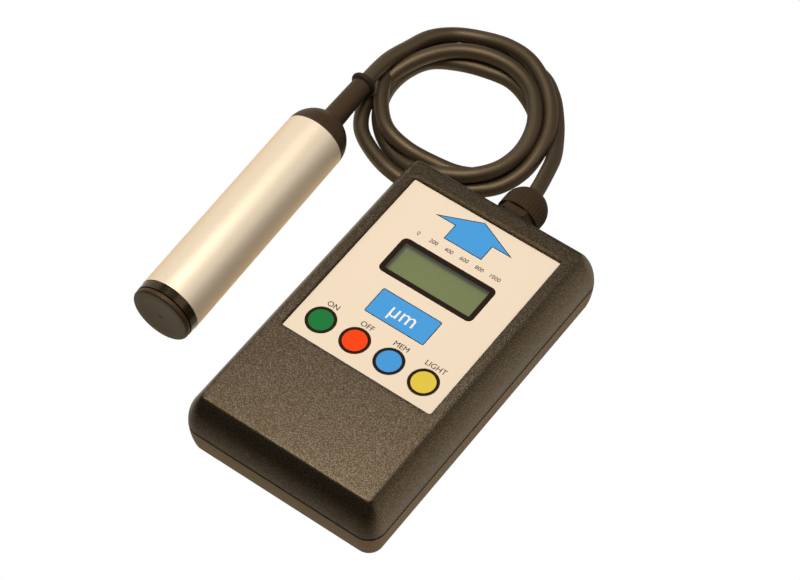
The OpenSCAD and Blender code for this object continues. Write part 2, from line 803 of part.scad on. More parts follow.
module rear_cap() color("#241f1a") along_probe() difference() {
    union() {
        translate([0, 0, cap_z]) rotate_extrude() intersection() {
            circle(probe_d / 2, $fn = 128);
            square(probe_d / 2);
        }
        spigot(cap_z - spigot_l + eps);
        translate([0, 0, neck_z - 1]) cylinder(d1 = neck_d, d2 = neck_end_d, h = neck_l + 1);
    }
    translate([0, 0, cap_z - spigot_l - eps]) cylinder(d = cap_hollow_d, h = spigot_l + cap_hollow_l);
    translate([0, 0, cap_z]) cylinder(d = bore_d, h = far);
}

module neck_bead() color("#1a1613") along_probe() translate([0, 0, bead_z]) difference() {
    rotate_extrude() {
        square([(bead_d - bead_l) / 2, bead_l]);
        translate([(bead_d - bead_l) / 2, bead_l / 2]) circle(bead_l / 2);
    }
    translate([0, 0, -eps]) cylinder(d = bore_d, h = bead_l + 2 * eps);
}

top_cover();
bottom_cover();
case_screws();
front_film();
display_window();
on_key();
off_key();
memory_key();
backlight_key();
lcd_frame();
lcd_glass();
lcd_board();
lcd_header();
main_board();
tact_switches();
controller_chip();
board_screws();
probe_terminal();
battery();
battery_snap();
battery_door();
gland_seal();
gland_body();
gland_bush();
gland_nut();
gland_locknut();
cable_lead();
cable_coil();
cable_tail();
probe_tube();
nose_ring();
end_disc();
ferrite_core();
sensing_coil();
rear_cap();
neck_bead();
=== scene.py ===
"""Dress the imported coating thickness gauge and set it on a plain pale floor.

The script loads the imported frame, gives each CAD piece its finish, adds the cable, the film's print
and the display's looks, and sets the lights and the camera. Lengths inside the classes are metres.
"""

from __future__ import annotations

import logging
import math
from dataclasses import dataclass, field
from enum import Enum
from typing import Sequence

import bpy
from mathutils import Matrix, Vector

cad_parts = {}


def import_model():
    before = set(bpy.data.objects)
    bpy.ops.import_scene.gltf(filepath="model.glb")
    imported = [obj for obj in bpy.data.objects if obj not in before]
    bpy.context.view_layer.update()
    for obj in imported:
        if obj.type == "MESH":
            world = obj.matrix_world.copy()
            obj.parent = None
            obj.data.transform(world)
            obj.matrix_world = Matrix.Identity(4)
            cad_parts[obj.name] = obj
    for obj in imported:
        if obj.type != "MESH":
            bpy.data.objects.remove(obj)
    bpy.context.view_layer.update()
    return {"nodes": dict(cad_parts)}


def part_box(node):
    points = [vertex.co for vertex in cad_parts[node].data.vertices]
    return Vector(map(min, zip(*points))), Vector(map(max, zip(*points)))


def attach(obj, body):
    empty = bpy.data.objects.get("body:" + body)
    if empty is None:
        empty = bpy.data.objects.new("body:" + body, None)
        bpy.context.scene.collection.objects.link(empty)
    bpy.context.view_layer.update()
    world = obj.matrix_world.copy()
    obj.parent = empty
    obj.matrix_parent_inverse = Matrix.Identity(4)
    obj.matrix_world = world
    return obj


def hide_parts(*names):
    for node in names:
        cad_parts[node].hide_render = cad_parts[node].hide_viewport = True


LOG = logging.getLogger("gauge")
MM = 0.001
METER = "meter"
GRAIN_SPAN = (0.46, 0.72)
GRAIN_IOR = 3.0
SMOOTH_ANGLE = math.radians(30.0)

Pair = tuple[float, float]
Triple = tuple[float, float, float]
Colour = tuple[float, float, float, float]


class Tint(Enum):
    """Named colours of the object, as screen values from 0 to 255."""

    CASE = (21, 16, 10)
    # Far lighter than CASE: painted bounce light from the floor on the bottom cover and battery door.
    BASE = (136, 110, 78)
    FILM = (241, 223, 200)
    INK = (38, 30, 24)
    PRINT_BLUE = (75, 160, 228)
    WHITE = (246, 244, 238)
    GREEN = (32, 122, 62)
    ORANGE = (250, 72, 24)
    BLUE = (72, 156, 224)
    YELLOW = (228, 200, 74)
    LCD = (103, 116, 58)
    BLACK = (22, 19, 17)
    GLAND = (56, 44, 31)
    CABLE = (48, 39, 28)
    ALUMINIUM = (246, 230, 206)
    NOSE = (34, 27, 20)
    CAP = (60, 46, 33)
    DISC = (62, 47, 31)
    STEEL = (170, 170, 172)
    BOARD = (24, 92, 52)
    BATTERY = (70, 70, 74)
    FERRITE = (80, 76, 72)
    COPPER = (176, 100, 46)
    CLEAR = (235, 238, 232)
    GLEAM = (255, 224, 180)
    AMBER = (255, 210, 140)

    @property
    def linear(self) -> Colour:
        """Return the colour as scene-linear red, green, blue and alpha."""
        channels = []
        for value in self.value:
            share = value / 255.0
            channels.append(share / 12.92 if share <= 0.04045 else ((share + 0.055) / 1.055) ** 2.4)
        return (channels[0], channels[1], channels[2], 1.0)


class Groups:
    """Shader node groups shared by the materials."""

    GRAIN = "FineGrain"

    @classmethod
    def grain(cls) -> bpy.types.NodeTree:
        """Build the moulded grain once.

        Returns:
            A node group with a mask and a bumped normal as outputs.
        """
        found = bpy.data.node_groups.get(cls.GRAIN)
        if found is not None:
            return found
        tree = bpy.data.node_groups.new(cls.GRAIN, "ShaderNodeTree")
        for name, default in (("Scale", 2600.0), ("Strength", 0.4), ("Depth", 0.0001), ("Ease", 0.0)):
            socket = tree.interface.new_socket(name, in_out="INPUT", socket_type="NodeSocketFloat")
            socket.default_value = default
        tree.interface.new_socket("Mask", in_out="OUTPUT", socket_type="NodeSocketFloat")
        tree.interface.new_socket("Normal", in_out="OUTPUT", socket_type="NodeSocketVector")
        entry = tree.nodes.new("NodeGroupInput")
        leave = tree.nodes.new("NodeGroupOutput")
        coords = tree.nodes.new("ShaderNodeTexCoord")
        noise = tree.nodes.new("ShaderNodeTexNoise")
        noise.inputs["Detail"].default_value = 3.0
        noise.inputs["Roughness"].default_value = 0.6
        bump = tree.nodes.new("ShaderNodeBump")
        ease = tree.nodes.new("ShaderNodeBevel")
        links = tree.links
        links.new(entry.outputs["Ease"], ease.inputs["Radius"])
        links.new(ease.outputs["Normal"], bump.inputs["Normal"])
        links.new(coords.outputs["Object"], noise.inputs["Vector"])
        links.new(entry.outputs["Scale"], noise.inputs["Scale"])
        links.new(noise.outputs["Fac"], bump.inputs["Height"])
        links.new(entry.outputs["Strength"], bump.inputs["Strength"])
        links.new(entry.outputs["Depth"], bump.inputs["Distance"])
        links.new(noise.outputs["Fac"], leave.inputs["Mask"])
        links.new(bump.outputs["Normal"], leave.inputs["Normal"])
        return tree


@dataclass(frozen=True)
class Finish:
    """One surface finish and the material that shows it.

    Attributes:
        name: Material name.
        tint: Base colour.
        roughness: Surface roughness.
        metallic: Share of metal.
        specular: Specular level.
        alpha: Opacity.
        grain: Strength of the moulded grain, or 0 for a smooth surface.
        grain_scale: Grains per metre.
        fleck: Coat weight of the brightest grains.
        gleam: Colour of the gleam.
        ease: Radius that softens the look of the edges.
    """

    name: str
    tint: Tint
    roughness: float = 0.5
    metallic: float = 0.0
    specular: float = 0.5
    alpha: float = 1.0
    grain: float = 0.0
    grain_scale: float = 2600.0
    fleck: float = 0.0
    gleam: Tint = Tint.GLEAM
    ease: float = 0.0

    def material(self) -> bpy.types.Material:
        """Build the material once.

        Returns:
            The material for this finish.
        """
        name = f"look_{self.name}"
        found = bpy.data.materials.get(name)
        if found is not None:
            return found
        made = bpy.data.materials.new(name)
        made.use_nodes = True
        tree = made.node_tree
        shader = tree.nodes["Principled BSDF"]
        shader.inputs["Base Color"].default_value = self.tint.linear
        shader.inputs["Roughness"].default_value = self.roughness
        shader.inputs["Metallic"].default_value = self.metallic
        shader.inputs["Specular IOR Level"].default_value = self.specular
        shader.inputs["Specular Tint"].default_value = self.gleam.linear
        shader.inputs["Alpha"].default_value = self.alpha
        if self.grain > 0.0:
            self._add_grain(tree, shader)
        return made

    def _add_grain(self, tree: bpy.types.NodeTree, shader: bpy.types.Node) -> None:
        """Link the moulded grain to the shader.

        Args:
            tree: The material's node tree.
            shader: Its surface shader.
        """
        grain = tree.nodes.new("ShaderNodeGroup")
        grain.node_tree = Groups.grain()
        grain.inputs["Scale"].default_value = self.grain_scale
        grain.inputs["Strength"].default_value = self.grain
        grain.inputs["Ease"].default_value = self.ease
        tree.links.new(grain.outputs["Normal"], shader.inputs["Normal"])
        if self.fleck <= 0.0:
            return
        gleam = tree.nodes.new("ShaderNodeMapRange")
        gleam.inputs["From Min"].default_value = GRAIN_SPAN[0]
        gleam.inputs["From Max"].default_value = GRAIN_SPAN[1]
        gleam.inputs["To Max"].default_value = self.fleck
        tree.links.new(grain.outputs["Mask"], gleam.inputs["Value"])
        tree.links.new(gleam.outputs["Result"], shader.inputs["Coat Weight"])
        shader.inputs["Coat Roughness"].default_value = self.roughness
        shader.inputs["Coat IOR"].default_value = GRAIN_IOR


class Looks:
    """The finishes of the object."""

    CASE = Finish(
        "case_plastic", Tint.CASE, roughness=0.34, specular=0.74, grain=0.3, grain_scale=2300.0, fleck=0.55,
        gleam=Tint.AMBER, ease=0.0022,
    )
    # Bottom cover and battery door finish: its light tint is painted bounce light from the floor.
    BASE = Finish(
        "base_plastic_painted_bounce", Tint.BASE, roughness=0.45, specular=0.3, grain=0.4, grain_scale=2200.0, fleck=0.2,
    )
    FILM = Finish("film_satin", Tint.FILM, roughness=0.5, specular=0.05)
    INK = Finish("print_ink", Tint.INK, roughness=0.5, specular=0.05)
    PRINT_BLUE = Finish("print_blue", Tint.PRINT_BLUE, roughness=0.5, specular=0.05)
    PRINT_WHITE = Finish("print_white", Tint.WHITE, roughness=0.5)
    GREEN = Finish("key_green", Tint.GREEN, roughness=0.5, specular=0.05)
    ORANGE = Finish("key_orange", Tint.ORANGE, roughness=0.5, specular=0.05)
    BLUE = Finish("key_blue", Tint.BLUE, roughness=0.5, specular=0.05)
    YELLOW = Finish("key_yellow", Tint.YELLOW, roughness=0.5, specular=0.05)
    PANE = Finish("window_clear", Tint.CLEAR, roughness=0.25, specular=0.2, alpha=0.04)
    LCD = Finish("lcd_field", Tint.LCD, roughness=0.5, specular=0.2)
    BLACK = Finish("moulded_black", Tint.BLACK, roughness=0.5)
    RUBBER = Finish("soft_black", Tint.BLACK, roughness=0.7)
    GLAND = Finish("gland_plastic", Tint.GLAND, roughness=0.6, specular=0.2, grain=0.2, grain_scale=1800.0)
    CABLE = Finish("cable_sheath", Tint.CABLE, roughness=0.5, specular=1.0)
    ALUMINIUM = Finish("probe_satin", Tint.ALUMINIUM, roughness=0.48, metallic=0.55, specular=0.3)
    NOSE = Finish("nose_gloss", Tint.NOSE, roughness=0.18)
    DISC = Finish("disc_ground", Tint.DISC, roughness=0.45, specular=0.35)
    CAP = Finish("cap_satin", Tint.CAP, roughness=0.5, specular=0.3)
    STEEL = Finish("zinc_steel", Tint.STEEL, roughness=0.35, metallic=1.0)
    BOARD = Finish("solder_mask", Tint.BOARD, roughness=0.35)
    BATTERY = Finish("battery_jacket", Tint.BATTERY, roughness=0.4, metallic=0.4)
    FERRITE = Finish("ferrite_ground", Tint.FERRITE, roughness=0.6)
    COPPER = Finish("copper_winding", Tint.COPPER, roughness=0.4, metallic=1.0)

    BY_NODE: dict[str, Finish] = {
        "top_cover": CASE, "bottom_cover": BASE, "battery_door": BASE, "case_screws": STEEL,
        "front_film": FILM, "display_window": PANE, "on_key": GREEN, "off_key": ORANGE,
        "memory_key": BLUE, "backlight_key": YELLOW, "lcd_frame": BLACK, "lcd_glass": LCD,
        "lcd_board": BOARD, "lcd_header": BLACK, "main_board": BOARD, "tact_switches": BLACK,
        "controller_chip": BLACK, "board_screws": STEEL, "probe_terminal": BLACK,
        "battery": BATTERY, "battery_snap": BLACK, "gland_seal": RUBBER, "gland_body": GLAND,
        "gland_bush": RUBBER, "gland_nut": GLAND, "gland_locknut": GLAND, "probe_tube": ALUMINIUM,
        "nose_ring": NOSE, "end_disc": DISC, "ferrite_core": FERRITE, "sensing_coil": COPPER,
        "rear_cap": CAP, "neck_bead": RUBBER,
    }


class Shop:
    """Small modelling steps that the sub-assemblies share."""

    @staticmethod
    def only(piece: bpy.types.Object) -> None:
        """Select one object and make it active.

        Args:
            piece: The object.
        """
        bpy.ops.object.select_all(action="DESELECT")
        piece.select_set(True)
        bpy.context.view_layer.objects.active = piece

    @classmethod
    def settle(cls, piece: bpy.types.Object, name: str) -> bpy.types.Object:
        """Name an object and move its place into its points.

        Args:
            piece: The object.
            name: Its new name.

        Returns:
            The same object, at the origin, unturned and unscaled.
        """
        piece.name = name
        piece.data.name = name
        cls.only(piece)
        bpy.ops.object.transform_apply(location=True, rotation=True, scale=True)
        return piece

    @classmethod
    def dress(cls, piece: bpy.types.Object, *finishes: Finish) -> None:
        """Give an object its materials.

        Args:
            piece: The object.
            finishes: Finishes, in the order of the object's slots.
        """
        piece.data.materials.clear()
        for finish in finishes:
            piece.data.materials.append(finish.material())

    @classmethod
    def outline(cls, name: str, corners: Sequence[Pair], z: float) -> bpy.types.Object:
        """Make a flat face from its corners.

        Args:
            name: Name of the piece.
            corners: Corner points in plan, anticlockwise.
            z: Height of the face.

        Returns:
            The new piece.
        """
        bpy.ops.object.select_all(action="DESELECT")
        bpy.ops.mesh.primitive_circle_add(vertices=len(corners), radius=0.01, fill_type="NGON")
        piece = bpy.context.object
        starts = [point.co.copy() for point in piece.data.vertices]
        for index, (x, y) in enumerate(corners):
            bpy.ops.object.mode_set(mode="EDIT")
            bpy.ops.mesh.select_all(action="DESELECT")
            bpy.ops.object.mode_set(mode="OBJECT")
            piece.data.vertices[index].select = True
            bpy.ops.object.mode_set(mode="EDIT")
            bpy.ops.transform.translate(value=Vector((x, y, z)) - starts[index])
            bpy.ops.object.mode_set(mode="OBJECT")
        cls.face_up(piece)
        return cls.settle(piece, name)

    @classmethod
    def panel(cls, name: str, size: Pair, at: Triple, radius: float) -> bpy.types.Object:
        """Make a flat panel with round corners.

        Args:
            name: Name of the piece.
            size: Width and length.
            at: Its middle.
            radius: Corner radius.

        Returns:
            The new piece.
        """
        bpy.ops.object.select_all(action="DESELECT")
        bpy.ops.mesh.primitive_plane_add(size=1.0, location=at)
        piece = bpy.context.object
        bpy.ops.object.mode_set(mode="EDIT")
        bpy.ops.mesh.select_all(action="SELECT")
        bpy.ops.transform.resize(value=(size[0], size[1], 1.0))
        bpy.ops.mesh.bevel(offset=radius, offset_type="OFFSET", segments=8, affect="VERTICES")
        bpy.ops.object.mode_set(mode="OBJECT")
        return cls.settle(piece, name)

    @staticmethod
    def face_up(piece: bpy.types.Object) -> None:
        """Turn all faces of a flat piece upwards.

        Args:
            piece: The flat piece.
        """
        bpy.ops.object.mode_set(mode="EDIT")
        bpy.ops.mesh.select_all(action="SELECT")
        if piece.data.polygons[0].normal.z < 0.0:
            bpy.ops.mesh.flip_normals()
        bpy.ops.object.mode_set(mode="OBJECT")

    @classmethod
    def border(cls, piece: bpy.types.Object, width: float, keep_inside: bool) -> None:
        """Part a flat piece into a border and a field.

        Args:
            piece: A piece with one face.
            width: Width of the border.
            keep_inside: Whether the field stays, as the second material, or is cut out.
        """
        cls.only(piece)
        bpy.ops.object.mode_set(mode="EDIT")
        bpy.ops.mesh.select_all(action="SELECT")
        bpy.ops.mesh.inset(thickness=width, use_boundary=True)
        if keep_inside:
            piece.active_material_index = 1
            bpy.ops.object.material_slot_assign()
        else:
            bpy.ops.mesh.delete(type="FACE")
        bpy.ops.object.mode_set(mode="OBJECT")

    @classmethod
    def words(cls, name: str, body: str, size: float, at: Triple) -> bpy.types.Object:
        """Set plain lettering flat on the film.

        Args:
            name: Name of the piece.
            body: The letters or numbers.
            size: Letter size.
            at: Middle of the lettering.

        Returns:
            The new piece.
        """
        bpy.ops.object.select_all(action="DESELECT")
        bpy.ops.object.text_add(location=at)
        piece = bpy.context.object
        piece.data.body = body
        piece.data.size = size
        piece.data.align_x = "CENTER"
        piece.data.align_y = "CENTER"
        piece.data.resolution_u = 4
        bpy.ops.object.convert(target="MESH")
        return cls.settle(bpy.context.object, name)


@dataclass
class Studio:
    """Floor, light and camera.

    Attributes:
        target: Point that the camera looks at.
        distance: Distance of the camera from it.
        azimuth: Turn of the camera, in degrees.
        elevation: Height angle of the camera, in degrees.
        lens: Focal length on a 36 mm sensor, in millimetres.
        floor_size: Side of the floor.
        floor_tone: Colour of the floor under the lamps.
        sheen_tone: Brightest colour of the painted sheen that the floor shows in reflections.
        sheen_shift: Shift of the sheen's middle line across the object.
        side_band: Distances from the middle line over which the sheen sets in.
        rear_band: Places along the object over which the side sheen sets in.
        front_band: Places before the object over which the front sheen sets in.
        front_shade: Front sheen at the ends of that band.
        air_tone: Colour of the surrounding light.
        air_strength: Strength of the surrounding light.
        lamp_tone: Colour of the lamps.
        lamps: Name, place, side and power in watts of each lamp.
    """

    target: Triple = (-0.01444, 0.02324, 0.0145)
    distance: float = 1.11404
    azimuth: float = 36.19
    elevation: float = 54.738
    lens: float = 129.01
    floor_size: float = 6.0
    floor_tone: Colour = (0.6, 0.56, 0.5, 1.0)
    sheen_tone: Colour = (0.85, 0.76, 0.61, 1.0)
    sheen_shift: float = 0.006
    side_band: Pair = (0.052, 0.06)
    rear_band: Pair = (-0.1, -0.07)
    front_band: Pair = (-0.15, -0.085)
    front_shade: Pair = (0.04, 0.5)
    air_tone: Colour = (1.0, 0.97, 0.93, 1.0)
    air_strength: float = 0.12
    lamp_tone: Triple = (1.0, 0.96, 0.9)
    lamps: tuple[tuple[str, Triple, float, float], ...] = (
        ("top_light", (-0.12, 0.03, 0.93), 0.5, 7.2),
        ("side_light", (-1.0, 0.55, 0.4), 1.0, 2.6),
        ("fill_light", (0.75, 0.6, 0.85), 0.8, 2.0),
    )

    def camera(self) -> None:
        """Make the camera at the photograph's viewing angle."""
        turn, rise = math.radians(self.azimuth), math.radians(self.elevation)
        back = Vector((math.sin(turn) * math.cos(rise), -math.cos(turn) * math.cos(rise), math.sin(rise)))
        bpy.ops.object.camera_add(
            location=Vector(self.target) + back * self.distance,
            rotation=(math.pi / 2.0 - rise, 0.0, turn),
        )
        camera = bpy.context.object
        camera.name = "camera"
        camera.data.sensor_width = 36.0
        camera.data.lens = self.lens
        camera.data.clip_start = 0.05
        camera.data.dof.use_dof = False
        bpy.context.scene.camera = camera
        LOG.info("camera: azimuth %.2f, elevation %.2f", self.azimuth, self.elevation)

    def floor(self) -> None:
        """Make the pale floor, plain white to the camera, with a painted sheen and painted shade in
        reflections.
        """
        bpy.ops.object.select_all(action="DESELECT")
        bpy.ops.mesh.primitive_plane_add(size=self.floor_size, location=(0.0, 0.0, 0.0))
        floor = Shop.settle(bpy.context.object, "floor")
        made = bpy.data.materials.new("floor_white")
        made.use_nodes = True
        tree = made.node_tree
        shader = tree.nodes["Principled BSDF"]
        shader.inputs["Base Color"].default_value = self.floor_tone
        shader.inputs["Roughness"].default_value = 0.9
        shader.inputs["Specular IOR Level"].default_value = 0.1
        # For glossy rays the floor glows in the painted sheen colour, which is a painted reflection on the
        # object.
        white = tree.nodes.new("ShaderNodeEmission")
        sheen = tree.nodes.new("ShaderNodeMix")
        sheen.data_type = "RGBA"
        sheen.inputs[6].default_value = (1.0, 1.0, 1.0, 1.0)
        self._sheen(tree, sheen.inputs[7])
        tree.links.new(sheen.outputs[2], white.inputs["Color"])
        path = tree.nodes.new("ShaderNodeLightPath")
        mix = tree.nodes.new("ShaderNodeMixShader")
        seen = self._math(tree, "MAXIMUM", path.outputs["Is Camera Ray"], path.outputs["Is Glossy Ray"])
        seen = self._math(tree, "MAXIMUM", seen, path.outputs["Is Transmission Ray"])
        tree.links.new(seen, mix.inputs[0])
        tree.links.new(path.outputs["Is Glossy Ray"], sheen.inputs["Factor"])
        tree.links.new(shader.outputs["BSDF"], mix.inputs[1])
        tree.links.new(white.outputs["Emission"], mix.inputs[2])
        tree.links.new(mix.outputs["Shader"], tree.nodes["Material Output"].inputs["Surface"])
        floor.data.materials.append(made)
        LOG.info("floor: %.1f m wide", self.floor_size)

    def _sheen(self, tree: bpy.types.NodeTree, goal: bpy.types.NodeSocket) -> None:
        """Paint the floor's colour in reflections: painted sheen beside the object, painted shade before it
        and between its parts.

        Args:
            tree: The floor's node tree.
            goal: Colour input that takes the shade.
        """
        place = tree.nodes.new("ShaderNodeTexCoord")
        axes = tree.nodes.new("ShaderNodeSeparateXYZ")
        tree.links.new(place.outputs["Object"], axes.inputs["Vector"])
        shift = self._math(tree, "ADD", axes.outputs["X"], self.sheen_shift)
        side = self._range(tree, self._math(tree, "ABSOLUTE", shift), self.side_band, (0.0, 1.0))
        rear = self._range(tree, axes.outputs["Y"], self.rear_band, (0.0, 1.0))
        front = self._range(tree, axes.outputs["Y"], self.front_band, self.front_shade)
        value = self._math(tree, "MAXIMUM", self._math(tree, "MULTIPLY", side, rear), front)
        tone = tree.nodes.new("ShaderNodeMix")
        tone.data_type = "RGBA"
        tone.inputs[6].default_value = (0.0, 0.0, 0.0, 1.0)
        tone.inputs[7].default_value = self.sheen_tone
        tree.links.new(value, tone.inputs["Factor"])
        tree.links.new(tone.outputs[2], goal)

    @staticmethod
    def _math(
        tree: bpy.types.NodeTree,
        name: str,
        first: bpy.types.NodeSocket,
        second: bpy.types.NodeSocket | float = 0.0,
    ) -> bpy.types.NodeSocket:
        """Add one math node.

        Args:
            tree: The node tree.
            name: The operation.
            first: The first value.
            second: The second value, linked or plain.

        Returns:
            The node's output.
        """
        node = tree.nodes.new("ShaderNodeMath")
        node.operation = name
        tree.links.new(first, node.inputs[0])
        if isinstance(second, float):
            node.inputs[1].default_value = second
        else:
            tree.links.new(second, node.inputs[1])
        return node.outputs["Value"]

    @staticmethod
    def _range(
        tree: bpy.types.NodeTree, value: bpy.types.NodeSocket, source: Pair, goal: Pair,
    ) -> bpy.types.NodeSocket:
        """Add one range node.

        Args:
            tree: The node tree.
            value: The value to map.
            source: Limits of the value.
            goal: Limits of the result.

        Returns:
            The node's output.
        """
        node = tree.nodes.new("ShaderNodeMapRange")
        for name, number in zip(("From Min", "From Max", "To Min", "To Max"), source + goal):
            node.inputs[name].default_value = number
        tree.links.new(value, node.inputs["Value"])
        return node.outputs["Result"]

    def light(self) -> None:
        """Set a dim surrounding light and soft lamps."""
        world = bpy.data.worlds.new("studio")
        bpy.context.scene.world = world
        world.use_nodes = True
        back = world.node_tree.nodes["Background"]
        back.inputs["Color"].default_value = self.air_tone
        back.inputs["Strength"].default_value = self.air_strength
        for lamp in self.lamps:
            self._lamp(*lamp)
        LOG.info("lights: %d soft lamps", len(self.lamps))

    def _lamp(self, name: str, at: Triple, size: float, power: float) -> None:
        """Make one square lamp that faces the object.

        Args:
            name: Name of the lamp.
            at: Its place.
            size: Its side.
            power: Its power, in watts.
        """
        bpy.ops.object.select_all(action="DESELECT")
        facing = (Vector(at) - Vector(self.target)).to_track_quat("Z", "Y").to_euler()
        bpy.ops.object.light_add(type="AREA", location=at, rotation=facing)
        lamp = bpy.context.object
        lamp.name = name
        lamp.data.shape = "SQUARE"
        lamp.data.size = size
        lamp.data.energy = power
        lamp.data.color = self.lamp_tone


@dataclass
class Cable:
    """The cable from the gland, through its coil, to the probe.

    Attributes:
        diameter: Diameter of the cable.
        middle: Middle of the coil in plan.
        tip: Middle of the probe's end disc.
        yaw: Turn of the probe on the table, in degrees.
        lead: Points from the meter to the coil.
        turns: Angle in degrees, radius and height along the coil, in millimetres.
        entry: Distances from the probe's tip where the cable meets the bead and ends in the neck.
        steps: Points on the route from one chosen point to the next.
    """

    diameter: float = 0.0065
    middle: Pair = (-0.0525, 0.117)
    tip: Triple = (-0.0825, -0.041, 0.0134)
    yaw: float = 2.3
    lead: list[Triple] = field(default_factory=lambda: [
        (2, 53, 13.5), (2, 66, 13.5), (1.8, 80, 13.5), (0.7, 94, 13.4),
    ])
    turns: list[Triple] = field(default_factory=lambda: [
        (-11.9, 51.2, 10.59), (0, 46.5, 6.96), (13.6, 42.4, 4.03), (29.3, 40, 3.3), (46.7, 39.3, 3.3),
        (64.1, 39, 3.27), (82.2, 35.6, 3.26), (102.7, 32.6, 3.26), (124.1, 32.3, 3.26),
        (144.4, 34.3, 3.32), (163.4, 35.6, 4.28), (182.1, 35.1, 6.56), (201.5, 32.9, 7.85),
        (222.5, 32.4, 8.82), (243.1, 33.1, 9.56), (263.4, 32, 8.32), (284.7, 31.1, 5.97),
        (305.9, 33.4, 4.59), (326.2, 35.4, 3.76), (345.9, 36, 3.29), (365, 34.8, 3.27),
        (384.4, 32.4, 3.33), (406, 29, 3.35), (431.6, 26.6, 3.27), (459.8, 24.1, 3.4),
        (488.1, 25, 3.74), (512.2, 28.5, 3.78), (534.9, 30.3, 3.57), (556.5, 31.9, 3.41),
        (577.4, 33.1, 3.49), (597.5, 34.2, 3.3), (617.1, 35.4, 3.36), (635.2, 37, 5.36),
        (652.9, 37.4, 8.34), (670.8, 38.1, 9.18), (688.6, 37.7, 9.35), (706.8, 35.9, 9.68),
        (726, 33.4, 10.35), (746.4, 31, 10.5), (769.7, 29.7, 9.88), (795.8, 28.2, 9.7),
        (822.9, 27, 9.76), (849.2, 26.6, 10.14), (874.7, 27.3, 10.01), (897.4, 30.4, 8.21),
        (916.4, 34.7, 5.47), (933.3, 39.2, 4.07), (949.4, 41.6, 3.35), (965.7, 41.7, 3.64),
        (982, 42.4, 3.99), (997.7, 42.8, 3.38), (1013.9, 41.3, 3.27), (1030.5, 41.3, 3.43),
        (1046.7, 42.5, 4.1), (1062.5, 42, 5.77), (1078.5, 40.1, 7.51), (1095.3, 38.5, 8.38),
        (1113.2, 36.9, 9.06), (1132.9, 36, 9.82), (1153, 36.2, 9.83), (1171.9, 36.5, 8.64),
        (1190.3, 37.1, 7.05), (1208.3, 37.9, 6.96), (1225.6, 36.5, 9.29), (1244.5, 34.5, 11.01),
        (1263.9, 35.7, 12.56),
    ])
    entry: Triple = (0.1412, 0.134, 0.126)
    steps: int = 6

    def points(self) -> list[Vector]:
        """Return the route's chosen points, in metres."""
        route = [Vector(point) * MM for point in self.lead]
        for angle, radius, height in self.turns:
            turn = math.radians(angle)
            out = Vector((math.cos(turn), math.sin(turn), 0.0)) * radius * MM
            route.append(Vector((self.middle[0], self.middle[1], height * MM)) + out)
        yaw = math.radians(self.yaw)
        axis = Vector((-math.sin(yaw), math.cos(yaw), 0.0))
        route.extend(Vector(self.tip) + axis * reach for reach in self.entry)
        return route

    def smooth(self) -> list[Vector]:
        """Return the route with even curves between the chosen points."""
        chosen = self.points()
        ends = [chosen[0]] + chosen + [chosen[-1]]
        line: list[Vector] = []
        for k in range(1, len(ends) - 2):
            a, b, c, d = ends[k - 1 : k + 3]
            for step in range(self.steps):
                t = step / self.steps
                line.append(0.5 * (
                    2.0 * b + (c - a) * t + (2.0 * a - 5.0 * b + 4.0 * c - d) * t**2
                    + (3.0 * b - a - 3.0 * c + d) * t**3
                ))
        line.append(chosen[-1])
        return line

    def build(self) -> bpy.types.Object:
        """Make the cable as one round cord.

        Returns:
            The cord.
        """
        line = self.smooth()
        data = bpy.data.curves.new("cable", "CURVE")
        data.dimensions = "3D"
        data.bevel_depth = self.diameter / 2.0
        data.bevel_resolution = 5
        data.use_fill_caps = True
        spline = data.splines.new("POLY")
        spline.points.add(len(line) - 1)
        for knot, place in zip(spline.points, line):
            knot.co = (place.x, place.y, place.z, 1.0)
        spline.use_smooth = True
        piece = bpy.data.objects.new("cable", data)
        bpy.context.scene.collection.objects.link(piece)
        piece.data.materials.append(Looks.CABLE.material())
        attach(piece, METER)
        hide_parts("cable_lead", "cable_coil", "cable_tail")
        return piece


@dataclass
class Seam:
    """The dark line where the two covers meet.

    Attributes:
        level: Lower edge of the line.
        height: Height of the line.
        proud: How far it stands out from the wall.
        radius: Corner radius of the case in plan.
    """

    level: float = 0.0128
    height: float = 0.0009
    proud: float = 0.00004
    radius: float = 0.0077

    def build(self) -> None:
        """Make the line round the case."""
        low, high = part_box("top_cover")
        size = (high.x - low.x + 2.0 * self.proud, high.y - low.y + 2.0 * self.proud)
        at = ((low.x + high.x) / 2.0, (low.y + high.y) / 2.0, self.level)
        piece = Shop.panel("seam_line", size, at, self.radius)
        Shop.only(piece)
        bpy.ops.object.mode_set(mode="EDIT")
        bpy.ops.mesh.select_all(action="SELECT")
        bpy.ops.mesh.delete(type="ONLY_FACE")
        bpy.ops.mesh.select_all(action="SELECT")
        bpy.ops.mesh.extrude_region_move(TRANSFORM_OT_translate={"value": (0.0, 0.0, self.height)})
        bpy.ops.object.mode_set(mode="OBJECT")
        Shop.dress(piece, Looks.INK)
        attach(piece, METER)
        LOG.info("seam line")


